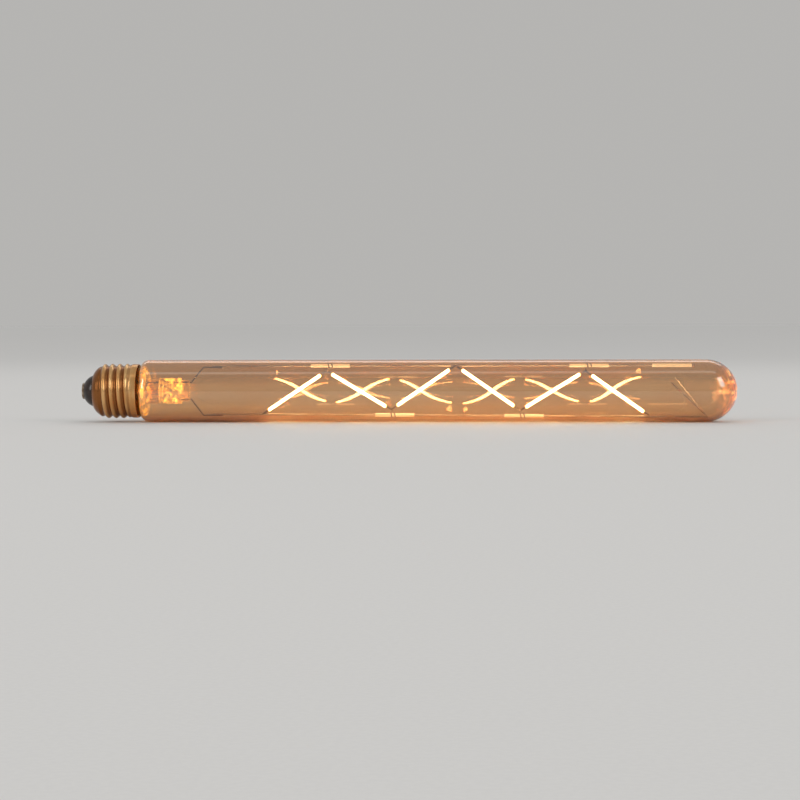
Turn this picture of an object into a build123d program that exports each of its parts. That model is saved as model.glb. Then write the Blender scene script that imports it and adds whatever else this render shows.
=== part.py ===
from build123d import *
import os
from math import acos, ceil, cos, degrees, pi, radians, sin, sqrt, tan

os.makedirs("parts", exist_ok=True)

# A tubular filament lamp with a screw cap. All sizes are in millimetres.
# The lamp's axis is X: the origin is the middle of the contact's flat face, and the dome points to +X.
# Z is up, and -Y is the front.

# Gaps between neighbours
seal_gap = 0.05  # pieces that are fused, cemented or moulded together
weld_gap = 0.02  # wires and tabs that are welded side by side
slide_gap = 0.1  # a sleeve's bore around its rail

# Screw cap
cap_height = 27.5  # contact face to skirt rim
cap_wall = 0.35
thread_diameter = 26.4
thread_depth = 1.1
thread_pitch = 3.629
first_crest = 11.0  # the first full-height crest, at the top of the cap
lead_in_turns = 0.75
run_out_turns = 0.5
stations_per_turn = 6
thread_start = 8.2
skirt_diameter = 26.0
skirt_length = 3.5  # from the end of the thread to the rim
skirt_flare_length = 0.8
opening_diameter = 16.2  # at the shell's small end
shoulder_end = 12.2  # where the rounded shoulder has its full width
shoulder_arc = 7.2

# Insulator and centre contact
contact_diameter = 7.8
contact_thickness = 0.9
contact_edge = 0.25
eyelet_diameter = 2.8
eyelet_length = 1.6
insulator_floor = 2.4
insulator_lip = 0.12  # how far the insulator stays below the shell's edge
insulator_bulge = 0.65  # of its rounded cone over a straight one
insulator_rim = 1.4

# Glass envelope
overall_length = 316.0
tube_diameter = 30.0
glass_wall = 1.1
dome_tip_thickness = 2.0
cement_thickness = 0.75
cement_inset = 1.3  # from the cap's rim down to the cement, where the glass starts to widen
glass_shoulder_slope = 51.0  # degrees from the axis, where the shoulder is steepest

# Glass stem
stem_diameter = 12.5
flare_thickness = 1.2
flare_height = 2.55
flare_fall = 0.5  # how much the flare's web falls away from the stem to the rim
flare_bend = 1.5
stem_length = 7.5  # straight tube between the flare and the press
press_blend = 3.5  # from the round tube to the flat press
press_length = 5.2
press_thickness = 3.6
press_corner = 1.5
block_width = 9.8
block_thickness = 3.0
block_length = 4.2
block_edge = 0.9
cavity_floor = 0.8
exhaust_diameter = 4.4
exhaust_wall = 0.8
exhaust_reach = 8.0  # how far the exhaust tube hangs below the flare's rim
vent_diameter = 2.2

# Lead wires and rails
lead_diameter = 0.7
lead_cover = 0.9  # from each lead's axis to the side of the press block
lead_stub = 0.6
lead_rise = 5.9
lead_bend = 1.0
lead_lap = 5.0  # how far a lead lies along its rail
rail_diameter = 0.8
rail_gap = 11.1  # from the stem's end to the rails
upper_rail_set_back = 6.0  # its end before the dome
lower_rail_reach = 1.0  # its end inside the dome
upper_rail_clearance = 1.8  # from the glass to the rail's axis
lower_rail_clearance = 2.7  # at the stem end
lower_rail_fall = 1.5  # how much lower it lies at the dome end
bead_diameter = 1.5

# Filaments, with every third bend welded straight to a rail
filament_count = 6
tab_length = 3.85
tab_width = 0.8
tab_thickness = 0.3
coat_width = 1.5
coat_depth = 1.2
coat_corner = 0.5
coat_end = 0.3
first_weld_reach = 24.2  # from the start of the rails to the first bend
last_weld_margin = 27.4  # from the last bend to the end of the lower rail
direct_weld_every = 3
hook_drop = 2.6  # from a rail's axis to a bend that hangs on a hook

# Sleeves and hook wires
sleeve_length = 18.8
sleeve_diameter = 1.7
sleeve_shift = 1.8  # the sleeve's middle beyond its bend
hook_diameter = 0.6
hook_tail = 0.7
hook_pitch = 1.7
hook_turns = 1.7
hook_bend = 0.5

# Centring spring
spring_diameter = 0.6
spring_bend = 0.8
spring_set_back = 0.8  # its bend before the end of the lower rail
front_leg_reach = 17.5
back_leg_reach = 14.0
front_tip_angle = 18.0
back_tip_angle = 27.0

# Driver in the cap
board_start = 10.0
board_length = 13.5
board_corner = 1.0
board_width = 15.0
board_thickness = 1.0
board_gap = 0.6  # between the exhaust tube and the board
solder_length = 3.0
rectifier_size = (4.8, 4.0, 1.6)
rectifier_place = (3.4, -4.6)  # from the board's lower edge, and from its middle line
chip_size = (4.0, 5.0, 1.5)
chip_place = (3.6, 0.4)
package_edge = 0.25
resistor_diameter = 2.6
resistor_length = 6.6
resistor_place = (4.6, 5.4)
resistor_edge = 0.6
capacitor_diameter = 6.3
capacitor_length = 11.0
capacitor_edge = 0.5
capacitor_start = 1.0
wire_diameter = 0.6
wire_bend = 1.2
live_rise = 1.5  # straight run at each end of the live wire
neutral_place = (9.8, 6.2)

# Sizes that follow
tube_radius = tube_diameter / 2
tube_bore = tube_radius - glass_wall
dome_start = overall_length - tube_radius
thread_throw = thread_depth / 2
thread_middle = thread_diameter / 2 - thread_throw
shoulder_axis = thread_middle - shoulder_arc
opening_radius = opening_diameter / 2
opening_x = shoulder_end - sqrt(shoulder_arc**2 - (opening_radius - shoulder_axis) ** 2)
skirt_radius = skirt_diameter / 2
thread_end = cap_height - skirt_length
skirt_start = thread_end + skirt_flare_length
skirt_bore = skirt_radius - cap_wall
neck_radius = skirt_bore - cement_thickness
neck_bore = neck_radius - glass_wall
neck_end = skirt_start + seal_gap
glass_shoulder_start = cap_height - cement_inset
glass_shoulder_length = (tube_radius - neck_radius) / tan(radians(glass_shoulder_slope / 2))
glass_shoulder_end = glass_shoulder_start + glass_shoulder_length
contact_radius = contact_diameter / 2
eyelet_radius = eyelet_diameter / 2

stem_radius = stem_diameter / 2
stem_bore = stem_radius - glass_wall
flare_radius = (neck_bore + tube_bore) / 2 - seal_gap
flare_rim = (glass_shoulder_start + glass_shoulder_end) / 2
flare_top = flare_rim + flare_height
flare_edge = flare_top - flare_fall
press_start = flare_top + stem_length
press_flat = press_start + press_blend
press_end = press_flat + press_length
stem_end = press_end + block_length
cavity_end = press_start - cavity_floor
exhaust_radius = exhaust_diameter / 2
exhaust_bore = exhaust_radius - exhaust_wall
exhaust_tip = flare_rim - exhaust_reach

lead_radius = lead_diameter / 2
lead_spread = block_width / 2 - lead_cover
rail_radius = rail_diameter / 2
rail_start = stem_end + rail_gap
upper_rail_end = dome_start - upper_rail_set_back
lower_rail_end = dome_start + lower_rail_reach
first_weld = rail_start + first_weld_reach
weld_pitch = (lower_rail_end - last_weld_margin - first_weld) / filament_count
sleeve_radius = sleeve_diameter / 2
hook_radius = hook_diameter / 2
hook_coil_radius = sleeve_radius + hook_radius + seal_gap
spring_radius = spring_diameter / 2

bends = range(filament_count + 1)
hooked_bends = [bend for bend in bends if bend % direct_weld_every]

board_front = exhaust_radius + board_gap
board_back = board_front + board_thickness
board_end = board_start + board_length
wire_radius = wire_diameter / 2


def s_bend(start, end):
    """Draw two equal arcs that leave start and reach end along X."""
    middle = ((start[0] + end[0]) / 2, (start[1] + end[1]) / 2)
    TangentArc(start, middle, tangent=(1, 0))
    TangentArc(end, middle, tangent=(-1, 0))


def rail_height(side, x):
    """Give a rail's height at x, for the upper rail (side 1) or the lower one (side -1)."""
    if side > 0:
        return tube_bore - upper_rail_clearance
    run = (x - rail_start) / (lower_rail_end - rail_start)
    return lower_rail_clearance - tube_bore - lower_rail_fall * run


def rail_plane(side, x):
    """Give the plane at x on a rail's axis, with its X along the rail and its Z away from the lamp's axis."""
    slope = Vector(1, 0, rail_height(side, x + 1) - rail_height(side, x))
    away = Vector(0, 1, 0).cross(slope) * -side
    return Plane(origin=(x, 0, rail_height(side, x)), x_dir=slope, z_dir=away)


def weld_side(bend):
    """Say whether a bend of the zigzag hangs from the upper rail (1) or stands on the lower one (-1)."""
    return 1 if bend % 2 else -1


def weld_point(bend):
    """Give the place of a bend of the zigzag, counted from the stem."""
    side = weld_side(bend)
    x = first_weld + bend * weld_pitch
    drop = hook_drop if bend in hooked_bends else 0
    return Vector(x, 0, rail_height(side, x) - side * drop)


def tab_seat(bend, layer):
    """Give the middle of a tab's end at a bend, on the front (-1) or the back (1) of the wire there."""
    wire = hook_radius if bend in hooked_bends else rail_radius
    return weld_point(bend) + Vector(0, layer * (wire + weld_gap + tab_thickness / 2), 0)


# Glass envelope: neck, shoulder, tube and dome, blown in one piece
with BuildPart() as glass_envelope:
    with BuildSketch():
        with BuildLine():
            Line((neck_end, neck_bore), (neck_end, neck_radius))
            Line((neck_end, neck_radius), (glass_shoulder_start, neck_radius))
            s_bend((glass_shoulder_start, neck_radius), (glass_shoulder_end, tube_radius))
            Line((glass_shoulder_end, tube_radius), (dome_start, tube_radius))
            CenterArc((dome_start, 0), tube_radius, 0, 90)
            Line((overall_length, 0), (overall_length - dome_tip_thickness, 0))
            EllipticalCenterArc((dome_start, 0), tube_radius - dome_tip_thickness, tube_bore, arc_size=90)
            Line((dome_start, tube_bore), (glass_shoulder_end, tube_bore))
            s_bend((glass_shoulder_start, neck_bore), (glass_shoulder_end, tube_bore))
            Line((glass_shoulder_start, neck_bore), (neck_end, neck_bore))
        make_face()
    revolve(axis=Axis.X)
glass_envelope.part.label = "glass_envelope"
export_step(glass_envelope.part, "parts/glass_envelope.step")

# Glass stem: flare and tube turned, then pinched flat around the leads, with the exhaust tube inside.
# The flare's rim is fused to the middle of the envelope's shoulder.
with BuildPart() as glass_stem:
    with BuildSketch():
        with BuildLine():
            Line((press_start, 0), (press_start, stem_radius))
            FilletPolyline(
                (press_start, stem_radius),
                (flare_top, stem_radius),
                (flare_edge, flare_radius),
                (flare_rim, flare_radius),
                radius=flare_bend,
            )
            Line((flare_rim, flare_radius), (flare_rim, flare_radius - flare_thickness))
            FilletPolyline(
                (flare_rim, flare_radius - flare_thickness),
                (flare_edge - flare_thickness, flare_radius - flare_thickness),
                (flare_top - flare_thickness, stem_bore),
                (cavity_end - glass_wall, stem_bore),
                radius=(flare_bend - flare_thickness, flare_bend + glass_wall),
            )
            EllipticalCenterArc((cavity_end - glass_wall, 0), glass_wall, stem_bore, arc_size=90)
            Line((cavity_end, 0), (press_start, 0))
        make_face()
    revolve(axis=Axis.X)
    with BuildSketch(Plane.YZ.offset(press_start)):
        Circle(stem_radius)
    with BuildSketch(Plane.YZ.offset(press_flat)):
        RectangleRounded(press_thickness, stem_diameter, press_corner)
    loft()
    with BuildSketch(Plane.YZ.offset(press_flat)):
        RectangleRounded(press_thickness, stem_diameter, press_corner)
    extrude(amount=press_length)
    with BuildSketch(Plane.YZ.offset(press_end)):
        RectangleRounded(block_thickness, block_width, press_corner * block_thickness / press_thickness)
    extrude(amount=block_length)
    fillet(faces().sort_by(Axis.X)[-1].edges(), block_edge)
    with BuildSketch():
        with BuildLine():
            CenterArc((exhaust_tip + exhaust_radius, 0), exhaust_radius, 90, 90)
            Line((exhaust_tip + exhaust_radius, exhaust_radius), (press_start, exhaust_radius))
            Line((press_start, exhaust_radius), (press_start, 0))
            Line((press_start, 0), (exhaust_tip, 0))
        make_face()
    revolve(axis=Axis.X)
    with BuildSketch():
        with BuildLine():
            CenterArc((exhaust_tip + exhaust_radius, 0), exhaust_bore, 90, 90)
            Line((exhaust_tip + exhaust_radius, exhaust_bore), (press_flat, exhaust_bore))
            Line((press_flat, exhaust_bore), (press_flat, 0))
            Line((press_flat, 0), (exhaust_tip + exhaust_wall, 0))
        make_face()
    revolve(axis=Axis.X, mode=Mode.SUBTRACT)
    with BuildSketch(Plane.XZ):
        with Locations((press_flat, 0)):
            Circle(vent_diameter / 2)
    extrude(amount=stem_radius, both=True, mode=Mode.SUBTRACT)
    with BuildSketch(Plane.YZ.offset(cavity_end - glass_wall)):
        with Locations((0, lead_spread), (0, -lead_spread)):
            Circle(lead_radius + seal_gap)
    extrude(amount=stem_end - cavity_end + 2 * glass_wall, mode=Mode.SUBTRACT)
glass_stem.part.label = "glass_stem"
export_step(glass_stem.part, "parts/glass_stem.step")

# Cap shell: thin brass, with a rounded shoulder, a rolled right-hand thread and a plain skirt.
# A rolled thread's cross-section is a circle whose centre travels round the axis once a pitch.
def shell_radius(x, inset):
    """Give the mean radius of the shell at x, inset from its outer face."""
    arc = shoulder_arc - inset
    run = max(shoulder_end - x, 0)
    return shoulder_axis + sqrt(arc**2 - run**2)


def fade(turns):
    """Rise smoothly from 0 to 1 as turns goes from 0 to 1."""
    return (1 - cos(pi * min(max(turns, 0), 1))) / 2


def thread_plane(x):
    """Give the plane across the cap at x, centred on the thread's travelling circle."""
    rise = fade((x - thread_start) / thread_pitch / lead_in_turns)
    fall = fade((thread_end - x) / thread_pitch / run_out_turns)
    throw = thread_throw * rise * fall
    turn = 2 * pi * (x - first_crest) / thread_pitch
    return Plane(origin=(x, -throw * sin(turn), throw * cos(turn)), x_dir=(0, 1, 0), z_dir=(1, 0, 0))


thread_steps = ceil((thread_end - thread_start) / thread_pitch * stations_per_turn)
thread_stations = [
    thread_start + (thread_end - thread_start) * step / thread_steps for step in range(thread_steps + 1)
]
opening_turn = degrees(acos((opening_x - shoulder_end) / shoulder_arc))
start_turn = degrees(acos((thread_start - shoulder_end) / shoulder_arc))
inner_start_turn = degrees(acos((thread_start - shoulder_end) / (shoulder_arc - cap_wall)))

with BuildPart() as cap_shell:
    for x in thread_stations:
        with BuildSketch(thread_plane(x)):
            Circle(shell_radius(x, 0))
    loft()
    for x in thread_stations:
        with BuildSketch(thread_plane(x)):
            Circle(shell_radius(x, cap_wall))
    loft(mode=Mode.SUBTRACT)
    with BuildSketch():
        with BuildLine():
            CenterArc(
                (shoulder_end, shoulder_axis), shoulder_arc, start_turn, opening_turn - start_turn
            )
            inner = CenterArc(
                (shoulder_end, shoulder_axis),
                shoulder_arc - cap_wall,
                inner_start_turn,
                opening_turn - inner_start_turn,
            )
            Line(inner @ 1, (opening_x, opening_radius))
            Line(inner @ 0, (thread_start, shell_radius(thread_start, 0)))
        make_face()
    revolve(axis=Axis.X)
    with BuildSketch():
        with BuildLine():
            s_bend((thread_end, thread_middle), (skirt_start, skirt_radius))
            Line((skirt_start, skirt_radius), (cap_height, skirt_radius))
            Line((cap_height, skirt_radius), (cap_height, skirt_bore))
            Line((cap_height, skirt_bore), (skirt_start, skirt_bore))
            s_bend((thread_end, thread_middle - cap_wall), (skirt_start, skirt_bore))
            Line((thread_end, thread_middle - cap_wall), (thread_end, thread_middle))
        make_face()
    revolve(axis=Axis.X)
cap_shell.part.label = "cap_shell"
export_step(cap_shell.part, "parts/cap_shell.step")

# Insulator: dark glass moulded into the shell's small end, with a hole for the contact's eyelet
insulator_start = contact_thickness + seal_gap
insulator_end = thread_start - seal_gap
insulator_arc = shoulder_arc - cap_wall - seal_gap
insulator_turn = degrees(acos((insulator_end - shoulder_end) / insulator_arc))

with BuildPart() as cap_insulator:
    with BuildSketch():
        with BuildLine():
            seat = CenterArc(
                (shoulder_end, shoulder_axis), insulator_arc, insulator_turn, opening_turn - insulator_turn
            )
            lip = Line(seat @ 1, (opening_x, opening_radius - cap_wall - insulator_lip))
            nose = SagittaArc(lip @ 1, (insulator_start, contact_radius), -insulator_bulge)
            Polyline(
                nose @ 1,
                (insulator_start, eyelet_radius + seal_gap),
                (insulator_start + insulator_floor, eyelet_radius + seal_gap),
                (insulator_start + insulator_floor, contact_radius - insulator_rim),
                (insulator_end, (seat @ 0).Y - insulator_rim),
                seat @ 0,
            )
        make_face()
    revolve(axis=Axis.X)
cap_insulator.part.label = "cap_insulator"
export_step(cap_insulator.part, "parts/cap_insulator.step")

# Centre contact: a flat disc with the eyelet that the live wire is soldered into
with BuildPart() as centre_contact:
    with BuildSketch(Plane.YZ):
        Circle(contact_radius)
    extrude(amount=contact_thickness)
    fillet(edges().group_by(Axis.X)[0], contact_edge)
    with BuildSketch(Plane.YZ.offset(contact_thickness)):
        Circle(eyelet_radius)
    extrude(amount=eyelet_length)
centre_contact.part.label = "centre_contact"
export_step(centre_contact.part, "parts/centre_contact.step")

# Capping cement: the ring that bonds the neck in the skirt
with BuildPart() as capping_cement:
    with BuildSketch(Plane.YZ.offset(neck_end)):
        Circle(skirt_bore - seal_gap)
        Circle(neck_radius + seal_gap, mode=Mode.SUBTRACT)
    extrude(amount=glass_shoulder_start - neck_end)
capping_cement.part.label = "capping_cement"
export_step(capping_cement.part, "parts/capping_cement.step")

# Driver: a board behind the exhaust tube, with its parts on both faces
board_middle = board_start + board_length / 2
front_plane = Plane(origin=(board_start, board_front, 0), x_dir=(1, 0, 0), z_dir=(0, -1, 0))

with BuildPart() as driver_board:
    with BuildSketch(Plane(origin=(board_middle, board_front, 0), x_dir=(1, 0, 0), z_dir=(0, 1, 0))):
        RectangleRounded(board_length, board_width, board_corner)
    extrude(amount=board_thickness)
driver_board.part.label = "driver_board"
export_step(driver_board.part, "parts/driver_board.step")

for name, size, place in (
    ("bridge_rectifier", rectifier_size, rectifier_place),
    ("driver_chip", chip_size, chip_place),
):
    with BuildPart() as package:
        with BuildSketch(front_plane.offset(weld_gap)):
            with Locations(place):
                Rectangle(size[0], size[1])
        extrude(amount=size[2])
        chamfer(faces().sort_by(Axis.Y)[0].edges(), package_edge)
    package.part.label = name
    export_step(package.part, f"parts/{name}.step")

resistor_lift = resistor_diameter / 2 + weld_gap
resistor_start = board_start + resistor_place[0] - resistor_length / 2
resistor_axis = Plane(
    origin=(resistor_start, board_front - resistor_lift, resistor_place[1]), x_dir=(0, 1, 0), z_dir=(1, 0, 0)
)
with BuildPart() as fuse_resistor:
    with BuildSketch(resistor_axis):
        Circle(resistor_diameter / 2)
    extrude(amount=resistor_length)
    fillet(edges().filter_by(GeomType.CIRCLE), resistor_edge)
fuse_resistor.part.label = "fuse_resistor"
export_step(fuse_resistor.part, "parts/fuse_resistor.step")

with BuildPart() as smoothing_capacitor:
    with BuildSketch(
        Plane(
            origin=(board_start + capacitor_start, board_back + weld_gap + capacitor_diameter / 2, 0),
            x_dir=(0, 1, 0),
            z_dir=(1, 0, 0),
        )
    ):
        Circle(capacitor_diameter / 2)
    extrude(amount=capacitor_length)
    fillet(edges().filter_by(GeomType.CIRCLE), capacitor_edge)
smoothing_capacitor.part.label = "smoothing_capacitor"
export_step(smoothing_capacitor.part, "parts/smoothing_capacitor.step")

# Neutral wire: soldered to the board and pressed against the inside of the thread
neutral_lift = board_front - wire_radius - weld_gap
thread_inside = thread_middle - thread_throw - cap_wall - seal_gap
neutral_end = sqrt(thread_inside**2 - (neutral_lift + wire_radius) ** 2)
with BuildPart() as neutral_wire:
    with BuildSketch(Plane.XY.offset(neutral_place[1] - solder_length)):
        with Locations((board_start + neutral_place[0], neutral_lift)):
            Circle(wire_radius)
    extrude(amount=neutral_end - neutral_place[1] + solder_length)
neutral_wire.part.label = "neutral_wire"
export_step(neutral_wire.part, "parts/neutral_wire.step")

# Bent wires: each one a round section carried along straight runs and tangent bends
live_wire_route = (
    (contact_thickness + eyelet_length + weld_gap, 0, 0),
    (contact_thickness + eyelet_length + live_rise, 0, 0),
    (resistor_start - live_rise, board_front - resistor_lift, resistor_place[1]),
    (resistor_start - weld_gap, board_front - resistor_lift, resistor_place[1]),
)


def lead_route(side, outside):
    """Give a lead's points, from the board through the press to the rail, above (1) or below (-1) the axis.

    outside is 1 where the lead lies on the rail's far side, and -1 where it lies nearer the axis.
    """
    soldered = board_front - lead_radius - weld_gap
    lap = rail_radius + lead_radius + weld_gap
    rise_end = stem_end + lead_stub + lead_rise
    lap_end = rail_start + lead_lap
    return (
        (board_end - solder_length, soldered, side * lead_spread),
        (board_end, soldered, side * lead_spread),
        (flare_rim, 0, side * lead_spread),
        (stem_end + lead_stub, 0, side * lead_spread),
        (rise_end, 0, rail_height(side, rise_end) + side * outside * lap),
        (lap_end, 0, rail_height(side, lap_end) + side * outside * lap),
    )


for name, route, diameter, bend in (
    ("live_wire", live_wire_route, wire_diameter, wire_bend),
    ("lead_wire_upper", lead_route(1, -1), lead_diameter, lead_bend),
    ("lead_wire_lower", lead_route(-1, 1), lead_diameter, lead_bend),
):
    with BuildPart() as wire:
        with BuildLine() as path:
            FilletPolyline(*route, radius=bend)
        with BuildSketch(Plane(origin=path.line @ 0, z_dir=path.line % 0)):
            Circle(diameter / 2)
        sweep(path=path.line)
    wire.part.label = name
    export_step(wire.part, f"parts/{name}.step")

# Rails: the two long wires that carry the filaments, the upper one ending in a bead
for name, side, rail_end in (
    ("support_rail_upper", 1, upper_rail_end),
    ("support_rail_lower", -1, lower_rail_end),
):
    start = Vector(rail_start, 0, rail_height(side, rail_start))
    end = Vector(rail_end, 0, rail_height(side, rail_end))
    with BuildPart() as rail:
        with BuildSketch(Plane(origin=start, z_dir=end - start)):
            Circle(rail_radius)
        extrude(amount=(end - start).length)
        if side > 0:
            with Locations(end):
                Sphere(bead_diameter / 2)
    rail.part.label = name
    export_step(rail.part, f"parts/{name}.step")

# Sleeves: insulating tubes on the rails, one at each hooked bend and one that ends the upper rail
with BuildPart() as sleeve:
    with BuildSketch(Plane.YZ):
        Circle(sleeve_radius)
        Circle(rail_radius + slide_gap, mode=Mode.SUBTRACT)
    extrude(amount=sleeve_length / 2, both=True)

sleeve_seats = [
    rail_plane(weld_side(bend), weld_point(bend).X + sleeve_shift) for bend in hooked_bends
]
sleeve_seats.append(rail_plane(1, upper_rail_end - bead_diameter / 2 - seal_gap - sleeve_length / 2))
for number, seat in enumerate(sleeve_seats, start=1):
    placed = sleeve.part.moved(seat.location)
    placed.label = f"rail_sleeve_{number}"
    export_step(placed, f"parts/rail_sleeve_{number}.step")

# Hook wires: a straight leg between the two tabs of a bend, then a coil round the sleeve
coil_entry = hook_coil_radius / sqrt(2)
coil_entry_turn = 225  # degrees from up: where the leg runs into the coil
with BuildPart() as hook:
    with BuildLine() as leg:
        FilletPolyline(
            (0, 0, -hook_drop - hook_tail),
            (0, 0, -2 * coil_entry),
            (0, coil_entry, -coil_entry),
            radius=hook_bend,
        )
    with BuildSketch(Plane(origin=leg.line @ 0, z_dir=leg.line % 0)):
        Circle(hook_radius)
    sweep(path=leg.line)
    with BuildLine() as coil:
        Helix(hook_pitch, hook_pitch * hook_turns, hook_coil_radius, direction=(1, 0, 0))
    turned_coil = coil.line.rotate(Axis.X, coil_entry_turn)
    with BuildSketch(Plane(origin=turned_coil @ 0, z_dir=turned_coil % 0)):
        Circle(hook_radius)
    sweep(path=turned_coil, is_frenet=True)
    with Locations(turned_coil @ 0, turned_coil @ 1):
        Sphere(hook_radius)

for number, bend in enumerate(hooked_bends, start=1):
    placed = hook.part.moved(rail_plane(weld_side(bend), weld_point(bend).X).location)
    placed.label = f"hook_wire_{number}"
    export_step(placed, f"parts/hook_wire_{number}.step")

# Filaments: a phosphor-coated strip with a metal tab at each end, in a zigzag between the rails.
# They lie in front of and behind the wires by turns, so that the tabs of a bend hold the wire between them.
strand_ends = []
for number in range(1, filament_count + 1):
    layer = 1 if number % 2 == 0 else -1
    strand_ends.append((tab_seat(number - 1, layer), tab_seat(number, layer)))
lit_length = max((end - start).length for start, end in strand_ends) - 2 * tab_length

with BuildPart() as filament:
    with BuildSketch(Plane.YZ.offset(-lit_length / 2)):
        RectangleRounded(coat_depth, coat_width, coat_corner)
    extrude(amount=lit_length)
    fillet(edges().group_by(Axis.X)[0] + edges().group_by(Axis.X)[-1], coat_end)

with BuildPart() as tabs:
    for end in (-1, 1):
        with BuildSketch(Plane.YZ.offset(end * (lit_length / 2 + weld_gap))):
            Rectangle(tab_thickness, tab_width)
        extrude(amount=end * (tab_length - weld_gap))

for number, (start, end) in enumerate(strand_ends, start=1):
    along = end - start
    seat = Plane(origin=(start + end) / 2, x_dir=along, z_dir=along.cross(Vector(0, 1, 0)))
    placed = filament.part.moved(seat.location)
    placed.label = f"filament_{number}"
    export_step(placed, f"parts/filament_{number}.step")
    placed_tabs = tabs.part.moved(seat.location)
    placed_tabs.label = f"filament_{number}_terminals"
    export_step(placed_tabs, f"parts/filament_{number}_terminals.step")

# Centring spring: a V of wire on the lower rail's end, bearing on the glass in front and behind
spring_x = lower_rail_end - spring_set_back
tip_radius = tube_bore - spring_radius - seal_gap
spring_points = [
    Vector(
        spring_x - reach,
        layer * tip_radius * cos(radians(angle)),
        tip_radius * sin(radians(angle)),
    )
    for layer, reach, angle in (
        (-1, front_leg_reach, front_tip_angle),
        (1, back_leg_reach, back_tip_angle),
    )
]
spring_foot = Vector(spring_x, 0, rail_height(-1, spring_x) + rail_radius + spring_radius + weld_gap)
with BuildPart() as centring_spring:
    with BuildLine() as legs:
        FilletPolyline(spring_points[0], spring_foot, spring_points[1], radius=spring_bend)
    with BuildSketch(Plane(origin=legs.line @ 0, z_dir=legs.line % 0)):
        Circle(spring_radius)
    sweep(path=legs.line)
    with Locations(*spring_points):
        Sphere(spring_radius)
centring_spring.part.label = "centring_spring"
export_step(centring_spring.part, "parts/centring_spring.step")
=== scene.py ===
"""Dresses a tubular filament lamp: tinted glass, a brass screw cap, nickel wires and lit filaments."""

import math

import bmesh
import bpy
from mathutils import Matrix, Vector, noise


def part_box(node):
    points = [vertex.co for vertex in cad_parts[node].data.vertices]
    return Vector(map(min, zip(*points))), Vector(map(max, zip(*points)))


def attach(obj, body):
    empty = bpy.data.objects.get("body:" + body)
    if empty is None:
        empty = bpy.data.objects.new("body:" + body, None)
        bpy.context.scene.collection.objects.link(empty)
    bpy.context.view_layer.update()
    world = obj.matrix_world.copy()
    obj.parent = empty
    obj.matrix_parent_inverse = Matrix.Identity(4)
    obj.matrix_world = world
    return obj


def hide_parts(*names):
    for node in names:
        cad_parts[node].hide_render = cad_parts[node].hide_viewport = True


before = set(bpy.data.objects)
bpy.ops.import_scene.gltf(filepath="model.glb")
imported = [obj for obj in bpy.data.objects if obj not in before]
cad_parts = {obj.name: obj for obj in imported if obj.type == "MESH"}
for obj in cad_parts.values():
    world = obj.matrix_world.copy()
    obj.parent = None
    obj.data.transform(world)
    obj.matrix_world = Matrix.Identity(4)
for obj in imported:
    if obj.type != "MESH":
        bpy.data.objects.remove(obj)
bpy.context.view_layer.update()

bl_info = {
    "name": "Tubular Filament Lamp",
    "version": (1, 0, 0),
    "blender": (4, 5, 0),
    "location": "View3D > Sidebar > Lamp",
    "description": "Gives a tubular filament lamp its glass, metal and glow, and sets it on a plain stage",
    "category": "Object",
}

BODY = "root"
MM = 0.001
AXIS_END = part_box("glass_envelope")[1].x
TUBE_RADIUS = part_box("glass_envelope")[1].z
NECK_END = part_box("glass_envelope")[0].x
SHOULDER_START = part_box("capping_cement")[1].x
ON_AXIS = 1e-6  # a radius under this is a point on the lamp's axis
PATCHES_START, PATCHES_FULL = 0.35, 0.65  # values of a noise between which its patches form
SENSOR_WIDTH = 36  # of the camera, in millimetres

# Lamps of the stage: name, place from the middle of the part, width, height and power
LIGHTS = (
    ("strip_light", (0.1, -0.58, 2.0), 2.4, 0.35, 1.1),
    ("rim_light", (0.0, 0.9, 0.8), 1.4, 0.25, 1.0),
    ("left_light", (-1.7, -1.3, 0.9), 0.7, 1.2, 9),
    ("right_light", (1.8, -0.9, 1.0), 0.7, 1.2, 6),
)


def colour(name, description, default):
    """Give a colour property."""
    return bpy.props.FloatVectorProperty(
        name=name, description=description, default=default, subtype="COLOR", size=3, min=0, max=1
    )


def length(name, description, default):
    """Give a length property, in metres."""
    return bpy.props.FloatProperty(
        name=name, description=description, default=default, subtype="DISTANCE", unit="LENGTH", min=0
    )


def angle(name, description, default):
    """Give an angle property, from degrees."""
    return bpy.props.FloatProperty(
        name=name, description=description, default=math.radians(default), subtype="ANGLE", unit="ROTATION"
    )


def factor(name, description, default):
    """Give a property between 0 and 1."""
    return bpy.props.FloatProperty(
        name=name, description=description, default=default, subtype="FACTOR", min=0, max=1
    )


def amount(name, description, default, top):
    """Give a plain number property between 0 and a top value."""
    return bpy.props.FloatProperty(name=name, description=description, default=default, min=0, max=top)


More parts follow.
